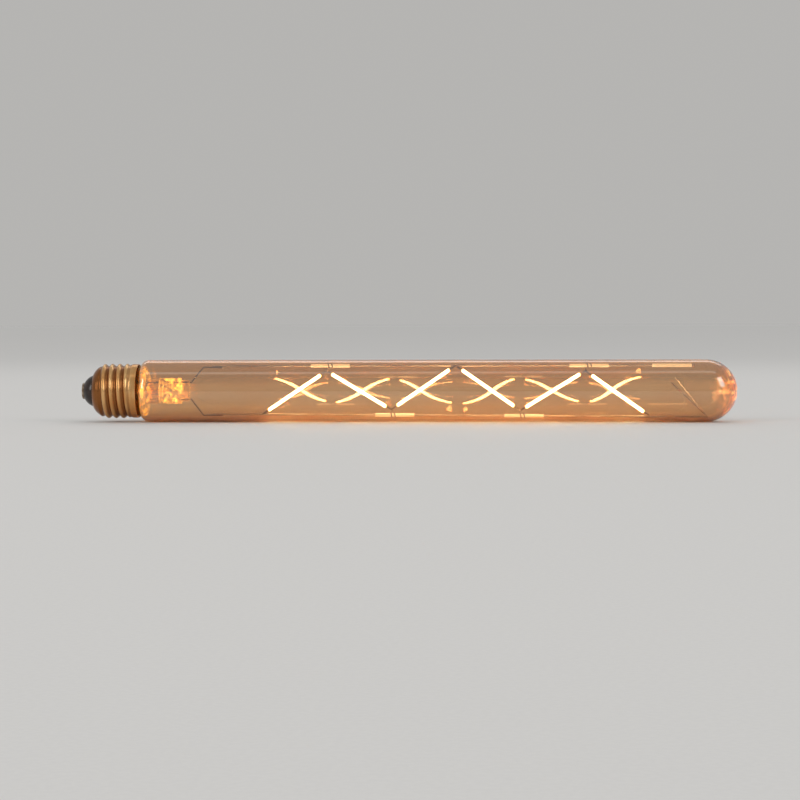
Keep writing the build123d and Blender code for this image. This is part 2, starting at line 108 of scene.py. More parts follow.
class LampGlassSettings(bpy.types.PropertyGroup):
    """Sizes and tints of the glass."""

    wall: length("Wall", "Thickness of the blown wall", 1.1 * MM)
    tip: length("Tip", "Thickness of the dome at its tip", 2.0 * MM)
    neck: length("Neck", "Radius of the neck in the cap", 11.9 * MM)
    shoulder_slope: angle("Shoulder slope", "Steepest slope from the neck to the tube", 51)
    tint_pale: colour("Pale tint", "Tint of the surface where the coat is thinnest", (0.99, 0.96, 0.90))
    tint_deep: colour("Deep tint", "Tint of the surface where the coat is strongest", (0.97, 0.88, 0.74))
    tint: colour("Tint", "Colour that a millimetre of the glass lets through", (0.90, 0.64, 0.17))
    stem_tint: colour("Stem tint", "Tint of the stem's glass", (1.0, 0.90, 0.66))
    stem_tint_deep: colour("Deep stem tint", "Tint of the stem where it was worked", (1.0, 0.76, 0.38))
    lamp_tint: colour("Lamp tint", "Tint of light that passes one face of the tube", (0.54, 0.50, 0.43))
    stem_lamp_tint: colour("Stem's lamp tint", "Tint of light that passes one face of the stem", (1, 1, 1))
    drawn_lines: factor("Drawn lines", "Strength of the fine lines along the tube", 0.05)
    worked_waves: factor("Worked waves", "Strength of the waves in the pinched stem", 0.55)
    index: amount("Index", "Index of refraction", 1.5, top=3)
    coat_index: amount("Coat index", "Index of refraction of the lustre on the tube", 2.4, top=4)
    coat_thin: factor("Thin coat", "Weight of the lustre where it is thinnest", 0.75)
    coat_thick: factor("Thick coat", "Weight of the lustre where it is thickest", 0.95)


class LampPaintedGlowSettings(bpy.types.PropertyGroup):
    """Painted glow of the glass, standing in for the light that it carries from the filaments to where it was
    worked.
    """

    light: colour("Light", "Light that the glass carries", (1.0, 0.56, 0.12))
    strength: amount("Strength", "Strength of the light at the press", 2.5, top=10)
    threshold: factor("Threshold", "How full a patch has to be to shine", 0.72)
    floor: factor("Floor", "Light of the dim patches, as a share of the bright ones", 0.07)
    flare: factor("Flare", "Light of the stem's flare, as a share of the press's", 0.5)
    tube: factor("Tube", "Light of the stem's clear tube, as a share of the press's", 0.06)
    dome: factor("Dome", "Light of the dome's tip, as a share of the press's", 0.55)
    dome_reach: length("Dome reach", "How far before its tip the dome starts to glow", 8.0 * MM)
    flare_start: length("Flare start", "Where the stem's flare starts", 29.0 * MM)
    flare_end: length("Flare end", "Where the stem's flare has narrowed to its tube", 32.4 * MM)
    press_start: length("Press start", "Where the stem's tube starts to be pinched flat", 38.6 * MM)
    press_end: length("Press end", "Where the press steps down to its end block", 48.2 * MM)
    fade: length("Fade", "How far the light takes to rise or fall", 1.4 * MM)


class LampMetalSettings(bpy.types.PropertyGroup):
    """Colours of the cap's metal and the wires."""

    brass: colour("Brass", "Rubbed brass on the thread's crests", (0.86, 0.52, 0.23))
    brass_warm: colour("Warm brass", "Brass where handling has warmed it", (0.74, 0.37, 0.13))
    # painted shade: the roots' brass is darkened for tarnish and for the shade that falls in the thread's
    # hollows
    brass_root_tarnish_and_shade: colour("Dull brass", "Brass in the thread's roots", (0.30, 0.115, 0.035))
    crest: length("Crest", "Radius of the thread's crests, where the brass is rubbed", 13.1 * MM)
    root: length("Root", "Radius of the thread's roots, where the brass is dull", 12.15 * MM)
    tin: colour("Tin", "Tinned centre contact", (0.46, 0.38, 0.30))
    tin_dull: colour("Dull tin", "Tin where it is dull", (0.26, 0.19, 0.13))
    nickel: colour("Nickel", "Bright nickel wire", (0.84, 0.80, 0.74))
    nickel_dull: colour("Dull nickel", "Nickel where it is dull", (0.44, 0.38, 0.32))
    heated: colour("Heated", "Wire of the leads, the hooks and the filaments' tabs", (0.20, 0.165, 0.13))
    heated_dull: colour("Dull heated", "The same wire where it was heated most", (0.09, 0.065, 0.05))


class LampWeldSettings(bpy.types.PropertyGroup):
    """Sizes, places and colours of the weld beads."""

    radius: length("Radius", "Radius of a bead", 0.6 * MM)
    lumpiness: factor("Lumpiness", "How uneven a bead is, as a share of its radius", 0.5)
    lead_inset: length("Lead inset", "From a lead's outer side to its bead", 0.35 * MM)
    foot_inset: length("Foot inset", "From a hook's near side to its bead, along the lamp", 0.3 * MM)
    foot_rise: length("Foot rise", "From a hook's foot to its bead", 0.7 * MM)
    bend_inset: length("Bend inset", "From the outermost tabs' ends to their beads, along the lamp", 0.5 * MM)
    bend_rise: length("Bend rise", "From a welded bend's tabs to their bead", 0.4 * MM)
    bead: colour("Bead", "Bright weld metal", (0.96, 0.93, 0.87))
    bead_dull: colour("Dull bead", "Weld metal where it is dull", (0.86, 0.80, 0.70))


class LampGlowSettings(bpy.types.PropertyGroup):
    """Light of the filaments."""

    light: colour("Light", "Light of a lit filament", (1.0, 0.93, 0.79))
    end_light: colour("End light", "Light of a filament's tips", (1.0, 0.42, 0.06))
    end_share: factor("End share", "Length of each dim tip, as a share of the filament", 0.035)
    strength: amount("Strength", "Strength of the light", 85, top=200)
    # painted glow: the sleeves emit light of their own, standing in for filament light that seeps through the
    # ceramic
    sleeve_painted_glow: amount("Sleeve strength", "Light that seeps through the sleeves", 1.05, top=10)
    coat: colour("Coat", "Colour of the phosphor coat", (0.95, 0.72, 0.25))
    coat_deep: colour("Deep coat", "Colour of the phosphor coat where it is thickest", (0.92, 0.64, 0.18))


class LampInsulationSettings(bpy.types.PropertyGroup):
    """Colours of the ceramic, the dark glass, the cement and the driver's parts, with their patches."""

    ceramic: colour("Ceramic", "White ceramic of the sleeves", (0.90, 0.88, 0.84))
    ceramic_patch: colour("Ceramic patch", "Ceramic where it is stained", (0.80, 0.76, 0.70))
    dark_glass: colour("Dark glass", "Moulded glass of the cap", (0.012, 0.006, 0.004))
    dark_glass_patch: colour("Dark glass patch", "Moulded glass where it is thin", (0.028, 0.014, 0.009))
    cement: colour("Cement", "Cement in the cap", (0.82, 0.74, 0.62))
    cement_patch: colour("Cement patch", "Cement where it was baked", (0.70, 0.60, 0.48))
    board: colour("Board", "Solder mask of the board", (0.05, 0.22, 0.11))
    board_patch: colour("Board patch", "Solder mask where it is thick", (0.04, 0.17, 0.09))
    package: colour("Package", "Moulded packages", (0.04, 0.04, 0.045))
    package_patch: colour("Package patch", "Packages where they are rubbed", (0.06, 0.06, 0.06))
    lacquer: colour("Lacquer", "Lacquer of the resistor", (0.35, 0.52, 0.50))
    lacquer_patch: colour("Lacquer patch", "Lacquer where it is thick", (0.30, 0.46, 0.45))
    wrap: colour("Wrap", "Sleeve of the capacitor", (0.05, 0.05, 0.07))
    wrap_patch: colour("Wrap patch", "Sleeve of the capacitor where it is rubbed", (0.07, 0.07, 0.09))


class LampStageSettings(bpy.types.PropertyGroup):
    """Floor, light and camera."""

    floor: colour("Floor", "Colour of the floor and the background", (0.75, 0.74, 0.72))
    floor_shade: factor("Floor shade", "Darkest patches of the floor, as a share of its colour", 0.98)
    floor_radius: length("Floor radius", "How far the floor reaches", 8.0)
    fill: amount("Fill", "Strength of the light from all round", 0.62, top=10)
    camera_foot: length("Camera foot", "Where the camera stands along the lamp", 0.215)
    camera_distance: length("Camera distance", "From the lamp's axis to the camera", 1.10)
    camera_rise: length("Camera rise", "Camera's height over the lamp's axis", 0.038)
    camera_near: length("Camera near", "Nearest point that the camera sees", 0.05)
    aim: length("Aim", "Where the camera points along the lamp", 0.1543)
    aim_drop: length("Aim drop", "How far under the lamp's axis the camera points", 0.0045)
    camera_roll: angle("Camera roll", "How far the camera leans", -0.15)
    lens: length("Lens", "Focal length of the lens", 0.1028)


def even(count):
    """Give a grain that is as fine along every axis, in waves per metre."""
    return (count, count, count)


def rgba(value):
    """Give a colour as a socket's four numbers."""
    return (*value, 1)


def node(tree, kind, **settings):
    """Add a node and set its properties."""
    made = tree.nodes.new(kind)
    for name, value in settings.items():
        setattr(made, name, value)
    return made


def join(tree, start, end):
    """Link one socket to another."""
    tree.links.new(start, end)


def group_of(name, inputs, outputs):
    """Make a node group with these sockets, given as (name, kind, default), and return it with its ends."""
    tree = bpy.data.node_groups.new(name, "ShaderNodeTree")
    for socket, kind, default in inputs:
        made = tree.interface.new_socket(name=socket, in_out="INPUT", socket_type=kind)
        made.default_value = default
    for socket, kind in outputs:
        tree.interface.new_socket(name=socket, in_out="OUTPUT", socket_type=kind)
    return tree, tree.nodes.new("NodeGroupInput"), tree.nodes.new("NodeGroupOutput")


def stretched_noise(tree, grain, detail):
    """Add a noise fixed to the object, as fine along each axis as the grain socket says."""
    place = node(tree, "ShaderNodeTexCoord")
    stretch = node(tree, "ShaderNodeVectorMath", operation="MULTIPLY")
    texture = node(tree, "ShaderNodeTexNoise")
    texture.inputs["Scale"].default_value = 1
    texture.inputs["Detail"].default_value = detail
    join(tree, place.outputs["Object"], stretch.inputs[0])
    join(tree, grain, stretch.inputs[1])
    join(tree, stretch.outputs[0], texture.inputs["Vector"])
    return texture.outputs["Fac"]


def soft_patches(tree, grain):
    """Add a noise that is spread into soft patches between 0 and 1."""
    spread = node(tree, "ShaderNodeMapRange", interpolation_type="SMOOTHSTEP")
    spread.inputs["From Min"].default_value = PATCHES_START
    spread.inputs["From Max"].default_value = PATCHES_FULL
    join(tree, stretched_noise(tree, grain, detail=3), spread.inputs["Value"])
    return spread.outputs["Result"]


def mottling_group():
    """A colour with soft patches of another."""
    tree, start, end = group_of(
        "Mottling",
        [
            ("Base", "NodeSocketColor", rgba(even(1))),
            ("Patch", "NodeSocketColor", rgba(even(0))),
            ("Grain", "NodeSocketVector", even(1000)),
        ],
        [("Color", "NodeSocketColor")],
    )
    mix = node(tree, "ShaderNodeMix", data_type="RGBA")
    join(tree, soft_patches(tree, start.outputs["Grain"]), mix.inputs["Factor"])
    join(tree, start.outputs["Base"], mix.inputs["A"])
    join(tree, start.outputs["Patch"], mix.inputs["B"])
    join(tree, mix.outputs["Result"], end.inputs["Color"])
    return tree


def drift_group():
    """A value that drifts between two others, as handling and coating leave it."""
    tree, start, end = group_of(
        "Drift",
        [
            ("Low", "NodeSocketFloat", 0.1),
            ("High", "NodeSocketFloat", 0.3),
            ("Grain", "NodeSocketVector", even(300)),
        ],
        [("Value", "NodeSocketFloat")],
    )
    spread = node(tree, "ShaderNodeMapRange")
    join(tree, stretched_noise(tree, start.outputs["Grain"], detail=4), spread.inputs["Value"])
    join(tree, start.outputs["Low"], spread.inputs["To Min"])
    join(tree, start.outputs["High"], spread.inputs["To Max"])
    join(tree, spread.outputs["Result"], end.inputs["Value"])
    return tree


def relief_group():
    """A fine height, for drawn, rolled and worked surfaces."""
    tree, start, end = group_of(
        "Worked relief",
        [("Grain", "NodeSocketVector", even(1000))],
        [("Height", "NodeSocketFloat")],
    )
    join(tree, stretched_noise(tree, start.outputs["Grain"], detail=2), end.inputs["Height"])
    return tree


def painted_glow_group():
    """Painted glow that leaves glass in bright patches, by a share that changes over the surface, standing in
    for light that the glass carries.
    """
    tree, start, end = group_of(
        "Painted piped glow",
        [
            ("Light", "NodeSocketColor", rgba(even(1))),
            ("Share", "NodeSocketFloat", 1),
            ("Threshold", "NodeSocketFloat", 0.5),
            ("Floor", "NodeSocketFloat", 0),
            ("Grain", "NodeSocketVector", even(300)),
        ],
        [("Color", "NodeSocketColor")],
    )
    sparse = node(tree, "ShaderNodeMapRange")
    shared = node(tree, "ShaderNodeMath", operation="MULTIPLY")
    mix = node(tree, "ShaderNodeMix", data_type="RGBA")
    mix.inputs["A"].default_value = rgba(even(0))
    join(tree, soft_patches(tree, start.outputs["Grain"]), sparse.inputs["Value"])
    join(tree, start.outputs["Threshold"], sparse.inputs["From Min"])
    join(tree, start.outputs["Floor"], sparse.inputs["To Min"])
    join(tree, sparse.outputs["Result"], shared.inputs[0])
    join(tree, start.outputs["Share"], shared.inputs[1])
    join(tree, shared.outputs[0], mix.inputs["Factor"])
    join(tree, start.outputs["Light"], mix.inputs["B"])
    join(tree, mix.outputs["Result"], end.inputs["Color"])
    return tree


GROUP_MAKERS = {
    "Mottling": mottling_group,
    "Drift": drift_group,
    "Worked relief": relief_group,
    "Painted piped glow": painted_glow_group,
}


def use_group(tree, name, **values):
    """Place a shared node group in a material, making it the first time, and set its inputs."""
    group = bpy.data.node_groups.get(name) or GROUP_MAKERS[name]()
    made = node(tree, "ShaderNodeGroup", node_tree=group)
    for socket, value in values.items():
        made.inputs[socket].default_value = value
    return made


def shader_of(material):
    """Give a material's main shader."""
    return material.node_tree.nodes["Principled BSDF"]


def surface(name, base, patch, grain, smooth, rough, gloss_grain, metallic=0):
    """Make a material of mottled colour, whose roughness drifts between smooth and rough."""
    material = bpy.data.materials.new(name)
    material.use_nodes = True
    tree, shader = material.node_tree, shader_of(material)
    shader.inputs["Metallic"].default_value = metallic
    mottling = use_group(tree, "Mottling", Base=rgba(base), Patch=rgba(patch), Grain=grain)
    gloss = use_group(tree, "Drift", Low=smooth, High=rough, Grain=gloss_grain)
    join(tree, mottling.outputs["Color"], shader.inputs["Base Color"])
    join(tree, gloss.outputs["Value"], shader.inputs["Roughness"])
    return material


def add_relief(material, grain, strength, depth):
    """Give a material a fine relief of this depth in metres."""
    tree = material.node_tree
    relief = use_group(tree, "Worked relief", Grain=grain)
    bump = node(tree, "ShaderNodeBump")
    bump.inputs["Strength"].default_value = strength
    bump.inputs["Distance"].default_value = depth
    join(tree, relief.outputs["Height"], bump.inputs["Height"])
    join(tree, bump.outputs["Normal"], shader_of(material).inputs["Normal"])


def clear_glass(name, base, patch, grain, index, lamp_tint):
    """Make a tinted clear glass, which lets the light of lamps through with a tint of its own."""
    material = surface(name, base, patch, grain, smooth=0, rough=0.02, gloss_grain=(40, 120, 120))
    tree, shader = material.node_tree, shader_of(material)
    shader.inputs["Transmission Weight"].default_value = 1
    shader.inputs["IOR"].default_value = index
    path = node(tree, "ShaderNodeLightPath")
    passed = node(tree, "ShaderNodeBsdfTransparent")
    passed.inputs["Color"].default_value = rgba(lamp_tint)
    mix = node(tree, "ShaderNodeMixShader")
    join(tree, path.outputs["Is Shadow Ray"], mix.inputs[0])
    join(tree, shader.outputs[0], mix.inputs[1])
    join(tree, passed.outputs[0], mix.inputs[2])
    join(tree, mix.outputs[0], tree.nodes["Material Output"].inputs["Surface"])
    return material


def ramp_along(tree):
    """Add a colour ramp that runs along the lamp from one end of the object to the other."""
    place = node(tree, "ShaderNodeTexCoord")
    split = node(tree, "ShaderNodeSeparateXYZ")
    ramp = node(tree, "ShaderNodeValToRGB")
    join(tree, place.outputs["Generated"], split.inputs[0])
    join(tree, split.outputs["X"], ramp.inputs["Fac"])
    return ramp


def paint_piped_glow(material, box, shares, settings):
    """Paint a glow that leaves glass in patches, standing in for the light it carries, by its share at each
    of these places along x.
    """
    tree, shader = material.node_tree, shader_of(material)
    ramp = ramp_along(tree)
    stops = ramp.color_ramp.elements
    stops.remove(stops[1])
    for x, share in shares:
        stops.new((x - box[0].x) / (box[1].x - box[0].x)).color = rgba(even(share))
    stops.remove(stops[0])
    glow = use_group(
        tree,
        "Painted piped glow",
        Light=rgba(settings.light),
        Threshold=settings.threshold,
        Floor=settings.floor,
        Grain=even(380),
    )
    join(tree, ramp.outputs["Color"], glow.inputs["Share"])
    join(tree, glow.outputs["Color"], shader.inputs["Emission Color"])
    shader.inputs["Emission Strength"].default_value = settings.strength


def nodes_named(start):
    """List the CAD nodes whose names begin so."""
    return sorted(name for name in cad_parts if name.startswith(start))


def tab_nodes():
    """List the CAD nodes of the filaments' end tabs."""
    return [name for name in nodes_named("filament") if name.endswith("terminals")]


def dress(material, *names):
    """Give CAD nodes this material."""
    for name in names:
        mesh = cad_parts[name].data
        mesh.materials.clear()
        mesh.materials.append(material)


def arc(middle, reach, rise, start, end, steps):
    """List the points of an elliptic arc from start to end, in degrees from the lamp's axis."""
    turns = [math.radians(start + (end - start) * step / steps) for step in range(steps + 1)]
    return [(middle[0] + reach * math.cos(turn), middle[1] + rise * math.sin(turn)) for turn in turns]


def s_bend(start, end, steps):
    """List the points of two equal arcs that leave start and reach end along the lamp's axis."""
    run, rise = end[0] - start[0], end[1] - start[1]
    radius = (run * run + rise * rise) / (4 * rise)
    turn = math.degrees(math.asin(run / 2 / radius))
    first = arc((start[0], start[1] + radius), radius, radius, -90, turn - 90, steps)
    second = arc((end[0], end[1] - radius), radius, radius, 90 + turn, 90, steps)
    return first + second[1:]


def finish_mesh(name, form, smooth_under):
    """Shade a mesh smooth, but for edges sharper than this many degrees, and put it in the scene."""
    for face in form.faces:
        face.smooth = True
    for edge in form.edges:
        edge.smooth = edge.calc_face_angle(0) < math.radians(smooth_under)
    mesh = bpy.data.meshes.new(name)
    form.to_mesh(mesh)
    form.free()
    made = bpy.data.objects.new(name, mesh)
    bpy.context.scene.collection.objects.link(made)
    return made


def lathe(name, profile, segments):
    """Turn a closed profile of (x, radius) points round the lamp's axis into a smooth mesh object."""
    form = bmesh.new()
    rings = []
    for x, radius in profile:
        count = segments if radius > ON_AXIS else 1
        turns = [2 * math.pi * step / count for step in range(count)]
        points = [(x, radius * math.cos(turn), radius * math.sin(turn)) for turn in turns]
        rings.append([form.verts.new(point) for point in points])
    for ring, following in zip(rings, rings[1:] + rings[:1]):
        if len(ring) == len(following) == 1:
            continue
        for step in range(segments):
            corners = [
                ring[step % len(ring)],
                following[step % len(following)],
                following[(step + 1) % len(following)],
                ring[(step + 1) % len(ring)],
            ]
            form.faces.new(list(dict.fromkeys(corners)))
    bmesh.ops.recalc_face_normals(form, faces=form.faces)
    return finish_mesh(name, form, smooth_under=40)


class LAMP_OT_glass_envelope(bpy.types.Operator):
    """Blow the tube with its neck, shoulder and dome, and give it its tinted glass, with a painted glow at
    the dome's tip
    """

    bl_idname = "lamp.glass_envelope"
    bl_label = "Glass envelope"

    def execute(self, context):
        settings, glow_paint = context.scene.lamp_glass, context.scene.lamp_piped
        tube = lathe("glass_tube", self.profile(settings), segments=180)
        glass = clear_glass(
            "Tinted glass",
            base=settings.tint_pale,
            patch=settings.tint_deep,
            grain=(14, 40, 40),
            index=settings.index,
            lamp_tint=settings.lamp_tint,
        )
        add_relief(glass, grain=(6, 900, 900), strength=settings.drawn_lines, depth=0.05 * MM)
        self.add_lustre(glass, settings)
        self.tint_inside(glass, settings)
        # painted glow: the dome's tip emits light, standing in for filament light that the glass carries
        # there
        shares = ((AXIS_END - glow_paint.dome_reach, 0), (AXIS_END, glow_paint.dome))
        paint_piped_glow(glass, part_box("glass_envelope"), shares, glow_paint)
        tube.data.materials.append(glass)
        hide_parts("glass_envelope")
        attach(tube, BODY)
        return {"FINISHED"}

    def profile(self, settings):
        """Outline the wall from the neck's end over the dome and back along the bore."""
        bore, neck_bore = TUBE_RADIUS - settings.wall, settings.neck - settings.wall
        dome = (AXIS_END - TUBE_RADIUS, 0)
        start = SHOULDER_START
        end = start + (TUBE_RADIUS - settings.neck) / math.tan(settings.shoulder_slope / 2)
        outside = [(NECK_END, settings.neck)]
        outside += s_bend((start, settings.neck), (end, TUBE_RADIUS), steps=10)
        outside += arc(dome, TUBE_RADIUS, TUBE_RADIUS, 90, 0, steps=48)
        inside = [(NECK_END, neck_bore)]
        inside += s_bend((start, neck_bore), (end, bore), steps=10)
        inside += arc(dome, TUBE_RADIUS - settings.tip, bore, 90, 0, steps=48)
        return outside + inside[::-1]

    def add_lustre(self, glass, settings):
        """Coat the wall with the lustre that mirrors the filaments."""
        tree, shader = glass.node_tree, shader_of(glass)
        weight = use_group(tree, "Drift", Low=settings.coat_thin, High=settings.coat_thick, Grain=even(300))
        join(tree, weight.outputs["Value"], shader.inputs["Coat Weight"])
        shader.inputs["Coat IOR"].default_value = settings.coat_index
        shader.inputs["Coat Roughness"].default_value = 0

    def tint_inside(self, glass, settings):
        """Tint what passes through the wall, by the millimetre."""
        tree = glass.node_tree
        absorption = node(tree, "ShaderNodeVolumeAbsorption")
        absorption.inputs["Color"].default_value = rgba(settings.tint)
        absorption.inputs["Density"].default_value = 1 / MM
        join(tree, absorption.outputs[0], tree.nodes["Material Output"].inputs["Volume"])


class LAMP_OT_glass_stem(bpy.types.Operator):
    """Give the stem its clear worked glass, with a painted glow at the flare and the press"""

    bl_idname = "lamp.glass_stem"
    bl_label = "Glass stem"

    def execute(self, context):
        settings, glow_paint = context.scene.lamp_glass, context.scene.lamp_piped
        glass = clear_glass(
            "Stem glass",
            base=settings.stem_tint,
            patch=settings.stem_tint_deep,
            grain=even(200),
            index=settings.index,
            lamp_tint=settings.stem_lamp_tint,
        )
        add_relief(glass, grain=even(500), strength=settings.worked_waves, depth=0.4 * MM)
        # painted glow: the flare and the press emit light, standing in for filament light that the stem's
        # glass carries
        shares = (
            (glow_paint.flare_start, 0),
            (glow_paint.flare_start + glow_paint.fade, glow_paint.flare),
            (glow_paint.flare_end, glow_paint.flare),
            (glow_paint.flare_end + glow_paint.fade, glow_paint.tube),
            (glow_paint.press_start, glow_paint.tube),
            (glow_paint.press_start + glow_paint.fade, 1),
            (glow_paint.press_end, 1),
            (glow_paint.press_end + glow_paint.fade, glow_paint.tube),
        )
        paint_piped_glow(glass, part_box("glass_stem"), shares, glow_paint)
        dress(glass, "glass_stem")
        return {"FINISHED"}


class LAMP_OT_wires(bpy.types.Operator):
    """Give the wires their nickel, and those that were heated, at welds and in the press, a darker metal"""

    bl_idname = "lamp.wires"
    bl_label = "Wires"

    def execute(self, context):
        settings = context.scene.lamp_metal
        plain = [*nodes_named("support_rail"), "centring_spring", "live_wire", "neutral_wire"]
        heated = [*nodes_named("lead_wire"), *nodes_named("hook_wire"), *tab_nodes()]
        for name, bright, dull, pieces in (
            ("Nickel wire", settings.nickel, settings.nickel_dull, plain),
            ("Heated wire", settings.heated, settings.heated_dull, heated),
        ):
            wire = surface(
                name,
                base=bright,
                patch=dull,
                grain=(90, 600, 600),
                smooth=0.36,
                rough=0.52,
                gloss_grain=(200, 2000, 2000),
                metallic=1,
            )
            add_relief(wire, grain=(150, 4000, 4000), strength=0.3, depth=0.02 * MM)
            dress(wire, *pieces)
        return {"FINISHED"}


class LAMP_OT_sleeves(bpy.types.Operator):
    """Give the rails' sleeves their white ceramic and a painted glow that stands in for the filaments' light
    seeping through it
    """

    bl_idname = "lamp.sleeves"
    bl_label = "Sleeves"

    def execute(self, context):
        settings, glow = context.scene.lamp_insulation, context.scene.lamp_glow
        ceramic = surface(
            "White ceramic",
            base=settings.ceramic,
            patch=settings.ceramic_patch,
            grain=even(700),
            smooth=0.45,
            rough=0.65,
            gloss_grain=even(900),
        )
        add_relief(ceramic, grain=even(3000), strength=0.4, depth=0.02 * MM)
        # painted glow: the ceramic emits light, standing in for the filaments' light that seeps through it
        shader = shader_of(ceramic)
        shader.inputs["Emission Color"].default_value = rgba(glow.light)
        shader.inputs["Emission Strength"].default_value = glow.sleeve_painted_glow
        dress(ceramic, *nodes_named("rail_sleeve"))
        return {"FINISHED"}


class LAMP_OT_filaments(bpy.types.Operator):
    """Give the filaments their lit phosphor coat, which is dimmer at the tips"""

    bl_idname = "lamp.filaments"
    bl_label = "Filaments"

    def execute(self, context):
        settings = context.scene.lamp_glow
        phosphor = surface(
            "Lit phosphor",
            base=settings.coat,
            patch=settings.coat_deep,
            grain=even(900),
            smooth=0.5,
            rough=0.7,
            gloss_grain=even(900),
        )
        tree, shader = phosphor.node_tree, shader_of(phosphor)
        ramp = ramp_along(tree)
        stops = ramp.color_ramp.elements
        for tip in stops:
            tip.color = rgba(settings.end_light)
        for share in (settings.end_share, 1 - settings.end_share):
            stops.new(share).color = rgba(settings.light)
        join(tree, ramp.outputs["Color"], shader.inputs["Emission Color"])
        shader.inputs["Emission Strength"].default_value = settings.strength
        tabs = tab_nodes()
        dress(phosphor, *[name for name in nodes_named("filament") if name not in tabs])
        return {"FINISHED"}


class LAMP_OT_screw_cap(bpy.types.Operator):
    """Give the cap its brass, dark insulator, tinned contact and cement"""

    bl_idname = "lamp.screw_cap"
    bl_label = "Screw cap"

    def execute(self, context):
        metal, insulation = context.scene.lamp_metal, context.scene.lamp_insulation
        brass = surface(
            "Brass",
            base=metal.brass,
            patch=metal.brass_warm,
            grain=(250, 90, 90),
            smooth=0.16,
            rough=0.32,
            gloss_grain=(900, 120, 120),
            metallic=1,
        )
        # painted shade in the thread's roots, with rubbed crests
        self.rub_crests_and_shade_roots(brass, metal)
        add_relief(brass, grain=(6000, 40, 40), strength=0.2, depth=0.02 * MM)
        dress(brass, "cap_shell")
        insulator = surface(
            "Dark insulator",
            base=insulation.dark_glass,
            patch=insulation.dark_glass_patch,
            grain=even(300),
            smooth=0.12,
            rough=0.28,
            gloss_grain=even(250),
        )
        add_relief(insulator, grain=even(800), strength=0.15, depth=0.05 * MM)
        dress(insulator, "cap_insulator")
        tin = surface(
            "Tinned contact",
            base=metal.tin,
            patch=metal.tin_dull,
            grain=even(500),
            smooth=0.25,
            rough=0.5,
            gloss_grain=even(700),
            metallic=1,
        )
        add_relief(tin, grain=even(900), strength=0.3, depth=0.05 * MM)
        dress(tin, "centre_contact")
        cement = surface(
            "Capping cement",
            base=insulation.cement,
            patch=insulation.cement_patch,
            grain=even(800),
            smooth=0.75,
            rough=0.95,
            gloss_grain=even(900),
        )
        add_relief(cement, grain=even(2500), strength=0.6, depth=0.1 * MM)
        dress(cement, "capping_cement")
        return {"FINISHED"}

    def rub_crests_and_shade_roots(self, brass, settings):
        """Keep the brass bright on the thread's crests, where it is rubbed, and darken it in its roots with
        tarnish and painted shade.
        """
        tree, shader = brass.node_tree, shader_of(brass)
        bright = shader.inputs["Base Color"].links[0].from_socket
        place = node(tree, "ShaderNodeTexCoord")
        across = node(tree, "ShaderNodeVectorMath", operation="MULTIPLY")
        across.inputs[1].default_value = (0, 1, 1)
        radius = node(tree, "ShaderNodeVectorMath", operation="LENGTH")
        rubbed = node(tree, "ShaderNodeMapRange", interpolation_type="SMOOTHSTEP")
        rubbed.inputs["From Min"].default_value = settings.root
        rubbed.inputs["From Max"].default_value = settings.crest
        mix = node(tree, "ShaderNodeMix", data_type="RGBA")
        # painted shade: the roots take the darkest brass, for tarnish and for the shade in the thread's
        # hollows
        mix.inputs["A"].default_value = rgba(settings.brass_root_tarnish_and_shade)
        join(tree, place.outputs["Object"], across.inputs[0])
        join(tree, across.outputs[0], radius.inputs[0])
        join(tree, radius.outputs["Value"], rubbed.inputs["Value"])
        join(tree, rubbed.outputs["Result"], mix.inputs["Factor"])
        join(tree, bright, mix.inputs["B"])
        join(tree, mix.outputs["Result"], shader.inputs["Base Color"])


class LAMP_OT_driver(bpy.types.Operator):
    """Give the driver in the cap its board and its parts their finishes"""

    bl_idname = "lamp.driver"
    bl_label = "Driver"

    def execute(self, context):
        settings = context.scene.lamp_insulation
        packages = ("bridge_rectifier", "driver_chip")
        for name, base, patch, smooth, rough, pieces in (
            ("Solder mask", settings.board, settings.board_patch, 0.35, 0.5, ("driver_board",)),
            ("Moulded package", settings.package, settings.package_patch, 0.5, 0.7, packages),
            ("Resistor lacquer", settings.lacquer, settings.lacquer_patch, 0.3, 0.45, ("fuse_resistor",)),
            ("Capacitor sleeve", settings.wrap, settings.wrap_patch, 0.25, 0.4, ("smoothing_capacitor",)),
        ):
            finish = surface(name, base, patch, even(900), smooth, rough, gloss_grain=even(900))
            add_relief(finish, grain=even(900), strength=0.2, depth=0.03 * MM)
            dress(finish, *pieces)
        return {"FINISHED"}


